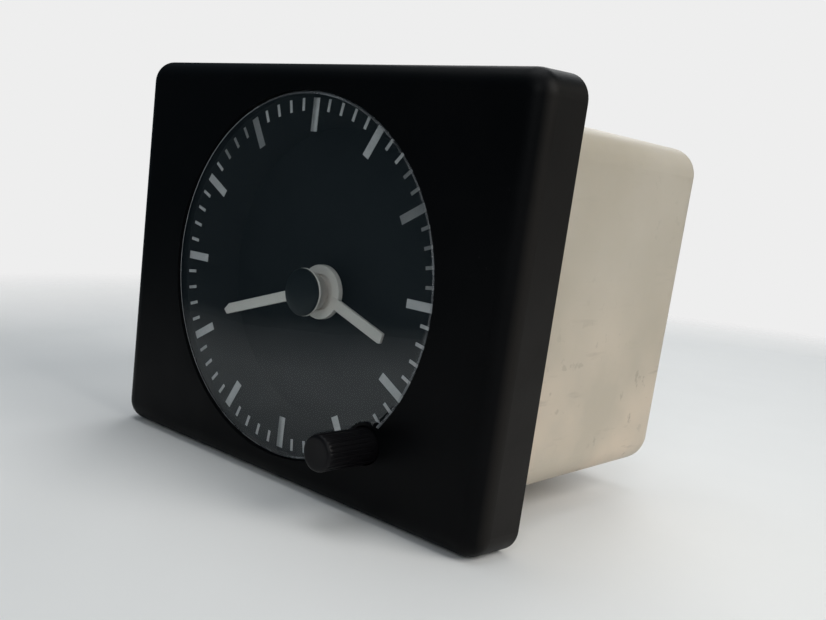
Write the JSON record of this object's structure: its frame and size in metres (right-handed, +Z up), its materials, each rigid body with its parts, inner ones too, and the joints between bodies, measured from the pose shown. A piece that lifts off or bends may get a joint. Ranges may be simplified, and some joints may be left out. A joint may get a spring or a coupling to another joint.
{
  "type": "dashboard clock",
  "caption": "Dashboard clock: rectangular black bezel, round clear lens with a ring of white marks, two white hands, setting knob at the lower right and a cream box housing.",
  "frame": {"origin": "centre of the panel opening, on the plane of the bezel's rear rim", "axes": "+X right and +Z up as the driver sees the dial, +Y into the dashboard"},
  "size_m": [0.088, 0.0859, 0.0694],
  "materials": {
    "bezel_black": "fine-grained satin",
    "lens_clear": "clear, polished",
    "mark_white": "printed",
    "well_black": "matt",
    "hand_white": "satin",
    "cap_black": "semi-gloss",
    "knob_black": "satin",
    "housing_cream": "satin, aged",
    "acetal_white": "smooth",
    "acetal_amber": "smooth",
    "movement_plastic": "smooth",
    "arbor_steel": "ground",
    "screw_steel": "zinc plated",
    "spring_steel": "drawn",
    "lamination_steel": "rolled",
    "ferrite": "matt",
    "copper_wire": "enamelled",
    "board_laminate": "semi-gloss",
    "chip_black": "matt",
    "crystal_can": "drawn",
    "capacitor_blue": "shrink sleeve",
    "capacitor_tan": "dipped",
    "resistor_tan": "lacquered",
    "diode_black": "moulded",
    "terminal_brass": "tinned",
    "lamp_grey": "smooth",
    "lamp_glass": "clear",
    "zinc_steel": "zinc plated"
  },
  "bodies": {
    "case": {"ceramic_capacitors": "capacitor_tan", "circuit_board": "board_laminate", "clock_chip": "chip_black", "coil_bobbin": "acetal_white", "coil_core": "lamination_steel", "coil_leads": "copper_wire", "coil_winding": "copper_wire", "dial_plate": "well_black", "dial_well": "well_black", "filter_capacitor": "capacitor_blue", "front_bezel": "bezel_black", "front_plate": "movement_plastic", "hour_marks": "mark_white", "housing_screws": "screw_steel", "lamp_bulb": "lamp_glass", "lamp_holder": "lamp_grey", "lens": "lens_clear", "minute_marks": "mark_white", "mounting_studs": "zinc_steel", "movement_screws": "screw_steel", "plate_pillars": "movement_plastic", "quartz_crystal": "crystal_can", "rear_housing": "housing_cream", "rear_plate": "movement_plastic", "resistors": "resistor_tan", "return_spring": "spring_steel", "stator": "lamination_steel", "surge_diode": "diode_black", "terminal_blades": "terminal_brass", "wheel_studs": "arbor_steel"},
    "minute_arbor": {"minute_hand": "hand_white", "hand_cap": "cap_black", "centre_arbor": "arbor_steel", "cannon_pinion": "acetal_white"},
    "centre": {"centre_wheel": "acetal_white"},
    "hour_arbor": {"hour_hand": "hand_white", "hour_wheel": "acetal_white"},
    "minute_wheel": {"minute_wheel": "acetal_amber"},
    "third": {"third_arbor": "arbor_steel", "third_wheel": "acetal_white"},
    "rotor": {"rotor_arbor": "arbor_steel", "rotor_pinion": "acetal_white", "rotor_magnet": "ferrite"},
    "idler": {"setting_idler": "acetal_amber"},
    "stem_slider": {"spring_washer": "spring_steel"},
    "knob": {"setting_knob": "knob_black", "setting_stem": "arbor_steel", "stem_pinion": "acetal_white", "stem_clip": "spring_steel"}
  },
  "joints": [
    {"name": "minute_hand_turn", "type": "hinge", "parent": "case", "child": "minute_arbor", "pos_m": [0, 0, -0.0023], "axis": [0, 1, 0], "continuous": true},
    {"name": "hour_hand_turn", "type": "hinge", "parent": "case", "child": "hour_arbor", "pos_m": [0, 0, -0.0023], "axis": [0, 1, 0], "continuous": true},
    {"name": "minute_wheel_turn", "type": "hinge", "parent": "case", "child": "minute_wheel", "pos_m": [0.00424, 0, -0.00654], "axis": [0, 1, 0], "continuous": true},
    {"name": "rotor_turn", "type": "hinge", "parent": "case", "child": "rotor", "pos_m": [-0.01808, 0, 0.0055], "axis": [0, 1, 0], "continuous": true},
    {"name": "third_wheel_turn", "type": "hinge", "parent": "case", "child": "third", "pos_m": [-0.00746, 0, 0.00835], "axis": [0, 1, 0], "continuous": true},
    {"name": "centre_wheel_turn", "type": "hinge", "parent": "case", "child": "centre", "pos_m": [0, 0, -0.0023], "axis": [0, 1, 0], "continuous": true},
    {"name": "idler_turn", "type": "hinge", "parent": "case", "child": "idler", "pos_m": [0.01602, 0, -0.01262], "axis": [0, 1, 0], "continuous": true},
    {"name": "knob_push", "type": "slide", "parent": "case", "child": "stem_slider", "axis": [0, 1, 0], "range_m": [0, 0.0015], "stiffness_N_per_m": 300, "springref_m": -0.004, "deforming": ["return_spring"]},
    {"name": "knob_turn", "type": "hinge", "parent": "stem_slider", "child": "knob", "pos_m": [0.02061, 0, -0.02289], "axis": [0, 1, 0], "continuous": true}
  ],
  "couplings": [
    {"joint": "hour_hand_turn", "follows": "minute_hand_turn", "ratio": 0.083333},
    {"joint": "minute_wheel_turn", "follows": "minute_hand_turn", "ratio": -0.33333},
    {"joint": "idler_turn", "follows": "minute_hand_turn", "ratio": 0.17143},
    {"joint": "third_wheel_turn", "follows": "rotor_turn", "ratio": -0.1},
    {"joint": "centre_wheel_turn", "follows": "rotor_turn", "ratio": 0.0083333}
  ]
}
